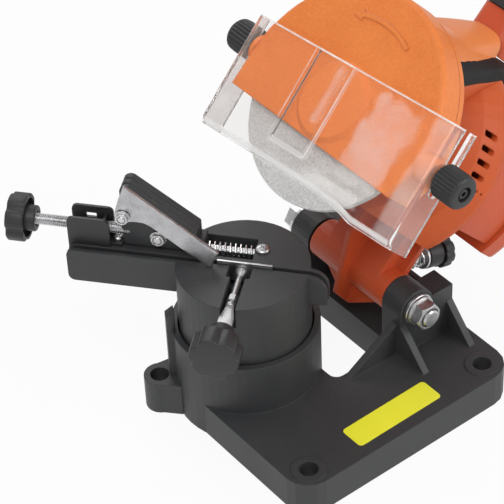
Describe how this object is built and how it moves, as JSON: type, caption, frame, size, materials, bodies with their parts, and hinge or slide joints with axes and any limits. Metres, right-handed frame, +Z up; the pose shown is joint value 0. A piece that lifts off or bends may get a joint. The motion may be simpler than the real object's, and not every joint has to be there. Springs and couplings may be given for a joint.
{
  "type": "electric chainsaw sharpener",
  "caption": "Bench mounted electric chainsaw sharpener with a black base, turning chain vise, orange tilting grinding head, grey wheel and clear guard",
  "frame": {"origin": "midpoint between the two front bolt holes, on the underside of the base that rests on the bench", "axes": "+Z up from the bench; +X along the base's front edge to the user's right; +Y away from the user, along the head's hinge; the head swings down towards -X"},
  "size_m": [0.3145, 0.1998, 0.2072],
  "materials": {
    "black_casting": "fine satin black moulding",
    "black_knob": "satin black moulded knob",
    "steel": "bright zinc plated steel",
    "wheel_abrasive": "coarse speckled light grey abrasive",
    "orange_cover": "finely grained orange moulding",
    "orange_red": "satin orange-red moulding",
    "clear_guard": "clear polycarbonate sheet",
    "soft_grip": "soft matt black grip"
  },
  "bodies": {
    "base_body": {"base": "black_casting", "hinge_bolt": "steel", "washer_back": "steel", "washer_front": "steel", "hinge_nut": "steel", "depth_spring": "steel"},
    "turntable_body": {"turntable": "black_casting", "pivot_bolt": "steel", "pivot_washer": "steel", "stop_bracket": "black_casting", "bracket_screw": "steel", "return_spring": "steel", "spring_rod": "steel", "rod_screw": "steel"},
    "carrier_body": {"stop_block": "black_casting", "block_bolt": "steel", "pawl_pivot": "steel"},
    "adjuster_body": {"adjust_screw": "steel", "adjust_knob": "black_knob"},
    "pawl_body": {"pawl": "steel"},
    "clamp_jaw_body": {"clamp_strip": "steel"},
    "clamp_screw_body": {"clamp_rod": "steel", "clamp_knob": "black_knob"},
    "head_body": {"head_frame": "orange_red", "motor_bell": "orange_cover", "rear_cap": "orange_red", "handle_saddle": "black_casting", "housing_dome": "orange_cover", "handle_shell": "orange_red", "handle_grip": "soft_grip", "wheel_cover": "orange_cover", "cover_back": "orange_cover", "guard_stud_left": "steel", "guard_stud_right": "steel"},
    "spindle_body": {"spindle": "steel", "inner_flange": "steel", "grinding_wheel": "wheel_abrasive", "outer_flange": "steel", "wheel_nut": "steel"},
    "guard_body": {"guard": "clear_guard"},
    "guard_knob_left_body": {"guard_knob_left": "black_knob"},
    "guard_knob_right_body": {"guard_knob_right": "black_knob"},
    "trigger_body": {"switch_trigger": "black_knob"},
    "depth_slider_body": {"depth_washer": "steel"},
    "depth_screw_body": {"depth_screw": "steel", "depth_knob": "black_knob"}
  },
  "joints": [
    {"name": "turntable_turn", "type": "hinge", "parent": "base_body", "child": "turntable_body", "pos_m": [-0.0333, 0.0804, 0.02], "axis": [0, 0, 1], "range_deg": [0, 85]},
    {"name": "carrier_slide", "type": "slide", "parent": "turntable_body", "child": "carrier_body", "axis": [0.6388, -0.7694, 0], "range_m": [0, 0.008], "stiffness_N_per_m": 60, "springref_m": -0.01, "deforming": ["return_spring"]},
    {"name": "adjuster_turn", "type": "hinge", "parent": "carrier_body", "child": "adjuster_body", "pos_m": [-0.02784, 0.08493, 0.0968], "axis": [0.6388, -0.7694, 0], "range_deg": [0, 2881]},
    {"name": "pawl_swing", "type": "hinge", "parent": "carrier_body", "child": "pawl_body", "pos_m": [-0.07316, 0.12529, 0.1135], "axis": [-0.7694, -0.6388, 0], "range_deg": [0, 100]},
    {"name": "clamp_slide", "type": "slide", "parent": "turntable_body", "child": "clamp_jaw_body", "axis": [0.7694, 0.6388, 0], "range_m": [0, 0.0008]},
    {"name": "clamp_turn", "type": "hinge", "parent": "clamp_jaw_body", "child": "clamp_screw_body", "pos_m": [-0.03362, 0.08078, 0.084], "axis": [0.7694, 0.6388, 0], "range_deg": [0, 361]},
    {"name": "head_tilt", "type": "hinge", "parent": "base_body", "child": "head_body", "pos_m": [0.0407, 0.0776, 0.048], "axis": [0, 1, 0], "range_deg": [-18.5, 0], "stiffness_Nm_per_rad": 0.5, "springref_deg": 20.05},
    {"name": "spindle_spin", "type": "hinge", "parent": "head_body", "child": "spindle_body", "pos_m": [0.02848, 0.0776, 0.15903], "axis": [-0.6845, 0, 0.729], "continuous": true},
    {"name": "guard_slide", "type": "slide", "parent": "head_body", "child": "guard_body", "axis": [-0.727, -0.0732, -0.6827], "range_m": [-0.008, 0.008]},
    {"name": "guard_knob_left_turn", "type": "hinge", "parent": "head_body", "child": "guard_knob_left_body", "pos_m": [0.02985, 0.1529, 0.15757], "axis": [0, 1, 0], "range_deg": [0, 360]},
    {"name": "guard_knob_right_turn", "type": "hinge", "parent": "head_body", "child": "guard_knob_right_body", "pos_m": [0.02985, -0.0052, 0.15757], "axis": [0, -1, 0], "range_deg": [0, 360]},
    {"name": "trigger_press", "type": "slide", "parent": "head_body", "child": "trigger_body", "axis": [0.6845, 0, -0.729], "range_m": [0, 0.0035], "stiffness_N_per_m": 300, "springref_m": -0.003},
    {"name": "depth_slide", "type": "slide", "parent": "base_body", "child": "depth_slider_body", "axis": [0.9659, 0, -0.2588], "range_m": [0, 0.006], "deforming": ["depth_spring"]},
    {"name": "depth_turn", "type": "hinge", "parent": "depth_slider_body", "child": "depth_screw_body", "pos_m": [0.0657, 0.0764, 0.034], "axis": [0.9659, 0, -0.2588], "range_deg": [0, 2161]}
  ],
  "couplings": [
    {"joint": "adjuster_turn", "follows": "carrier_slide", "rad_per_m": 6283.2},
    {"joint": "clamp_turn", "follows": "clamp_slide", "rad_per_m": 7854},
    {"joint": "depth_turn", "follows": "depth_slide", "rad_per_m": 6283.2}
  ]
}
